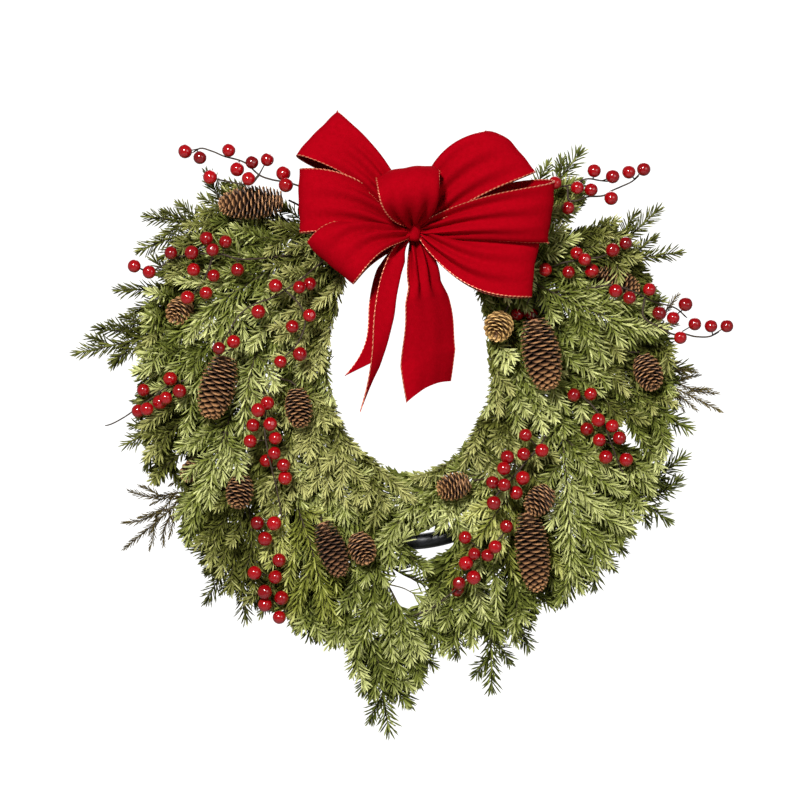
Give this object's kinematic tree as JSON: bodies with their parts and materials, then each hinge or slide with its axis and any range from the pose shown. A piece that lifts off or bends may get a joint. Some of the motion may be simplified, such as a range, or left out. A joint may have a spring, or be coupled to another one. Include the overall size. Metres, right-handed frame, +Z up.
{
  "type": "evergreen wreath",
  "caption": "Evergreen wreath on a round hoop, with needle boughs, pine cones, sprays of red berries and a wired velvet bow with two tails, hung from the top of its hoop.",
  "frame": {"origin": "the hook's seat: the underside of the hoop's tube at the top of the hoop, in the middle of the tube's depth", "axes": "+Z up as the wreath hangs, +X to the right as it is looked at, +Y towards the wall or door behind it"},
  "size_m": [0.6637, 0.1352, 0.6269],
  "materials": {
    "hoop": "black paint, satin",
    "needles_fir": "fresh sage-green needles on dark stems",
    "needles_olive": "olive to brown-olive needles on dark stems",
    "needles_lime": "yellow-green needles on dark stems",
    "needles_cedar": "thin brownish sprigs",
    "cone": "dry woody scales with lighter rims",
    "berry": "glossy deep red berries on dark twigs",
    "ribbon": "crimson velvet with thin gold wired edges",
    "tie_wire": "green floral wire"
  },
  "bodies": {
    "root": {"berry_spray_01": "berry", "berry_spray_02": "berry", "berry_spray_03": "berry", "berry_spray_04": "berry", "berry_spray_05": "berry", "berry_spray_06": "berry", "berry_spray_07": "berry", "berry_spray_08": "berry", "berry_spray_09": "berry", "berry_spray_10": "berry", "berry_spray_11": "berry", "berry_spray_12": "berry", "bough_01_olive": "needles_olive", "bough_02_fir": "needles_fir", "bough_03_olive": "needles_olive", "bough_04_olive": "needles_olive", "bough_05_fir": "needles_fir", "bough_06_fir": "needles_fir", "bough_07_olive": "needles_olive", "bough_08_olive": "needles_olive", "bough_09_fir": "needles_fir", "bough_10_cedar": "needles_cedar", "bough_11_fir": "needles_fir", "bough_12_olive": "needles_olive", "bough_13_fir": "needles_fir", "bough_14_lime": "needles_lime", "bough_15_olive": "needles_olive", "bough_16_fir": "needles_fir", "bough_17_fir": "needles_fir", "bough_18_fir": "needles_fir", "bough_19_olive": "needles_olive", "bough_20_fir": "needles_fir", "bough_21_cedar": "needles_cedar", "bough_22_olive": "needles_olive", "bough_23_fir": "needles_fir", "bough_24_olive": "needles_olive", "bough_25_fir": "needles_fir", "bough_26_fir": "needles_fir", "bough_27_fir": "needles_fir", "bough_28_fir": "needles_fir", "bough_29_lime": "needles_lime", "bough_30_fir": "needles_fir", "bough_31_fir": "needles_fir", "bow_loops": "ribbon", "bow_tails": "ribbon", "bow_wire": "tie_wire", "cone_01": "cone", "cone_02": "cone", "cone_03": "cone", "cone_04": "cone", "cone_05": "cone", "cone_06": "cone", "cone_08": "cone", "cone_09": "cone", "cone_10": "cone", "cone_11": "cone", "cone_13": "cone", "cone_pair_07": "cone", "cone_pair_12": "cone", "hoop": "hoop"}
  },
  "joints": []
}
